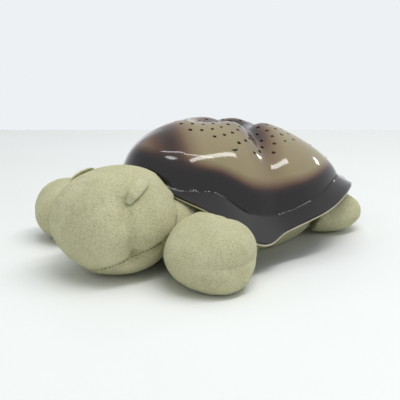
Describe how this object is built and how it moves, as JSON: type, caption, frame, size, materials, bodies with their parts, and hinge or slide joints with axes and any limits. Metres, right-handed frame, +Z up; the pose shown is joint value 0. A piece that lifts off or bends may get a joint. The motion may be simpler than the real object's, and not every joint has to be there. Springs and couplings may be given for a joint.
{
  "type": "turtle night light projector",
  "caption": "Stuffed turtle night light with a rigid star-pierced shell that throws points of coloured light on a ceiling.",
  "frame": {"origin": "middle of the footprint's box, on the surface the toy lies on", "axes": "+Z up, head towards -Y, tail towards +Y, the turtle's left side +X"},
  "size_m": [0.2422, 0.3264, 0.1067],
  "materials": {
    "shell_plastic": "glossy moulded shell, shaded tan to dark brown",
    "tray_plastic": "moulded",
    "button_green": "soft touch",
    "button_blue": "soft touch",
    "button_amber": "soft touch",
    "switch_plastic": "moulded",
    "circuit_board": "lacquered board",
    "cell_jacket": "wrapped cell",
    "contact_metal": "nickel plated",
    "screw_steel": "zinc plated",
    "led_blue": "clear lens",
    "led_green": "clear lens",
    "led_amber": "clear lens",
    "lead_jacket": "flexible lead",
    "velour": "short pile velour",
    "belly_cloth": "short pile velour",
    "hook_tape": "hook and loop tape"
  },
  "bodies": {
    "base": {"base_tray": "tray_plastic", "battery_contacts": "contact_metal", "battery_door": "tray_plastic", "battery_leads": "lead_jacket", "board_bracket": "tray_plastic", "cell_1": "cell_jacket", "cell_2": "cell_jacket", "cell_3": "cell_jacket", "control_board": "circuit_board", "door_screw": "screw_steel", "eyelid_left": "velour", "eyelid_right": "velour", "front_flipper_left": "velour", "front_flipper_right": "velour", "head": "velour", "led_amber": "led_amber", "led_blue": "led_blue", "led_board": "circuit_board", "led_green": "led_green", "led_leads": "lead_jacket", "led_tower": "tray_plastic", "loop_strip": "hook_tape", "neck": "velour", "plush_body": "velour", "rear_flipper_left": "velour", "rear_flipper_right": "velour", "shell_screws": "screw_steel", "star_shell": "shell_plastic", "switch_cases": "switch_plastic", "tail": "velour"},
    "button_green": {"button_green": "button_green", "switch_stem_green": "switch_plastic"},
    "button_blue": {"button_blue": "button_blue", "switch_stem_blue": "switch_plastic"},
    "button_amber": {"button_amber": "button_amber", "switch_stem_amber": "switch_plastic"},
    "flap": {"belly_flap": "belly_cloth", "hook_strip": "hook_tape"}
  },
  "joints": [
    {"name": "button_green_press", "type": "slide", "parent": "base", "child": "button_green", "axis": [0, 0.7193, 0.6947], "range_m": [-0.001, 0], "stiffness_N_per_m": 600, "springref_m": 0.0005},
    {"name": "button_blue_press", "type": "slide", "parent": "base", "child": "button_blue", "axis": [0, 0.7193, 0.6947], "range_m": [-0.001, 0], "stiffness_N_per_m": 600, "springref_m": 0.0005},
    {"name": "button_amber_press", "type": "slide", "parent": "base", "child": "button_amber", "axis": [0, 0.7193, 0.6947], "range_m": [-0.001, 0], "stiffness_N_per_m": 600, "springref_m": 0.0005},
    {"name": "belly_flap_fold", "type": "hinge", "parent": "base", "child": "flap", "pos_m": [0, 0.06767, 0.0017], "axis": [1, 0, 0], "range_deg": [0, 100]}
  ]
}
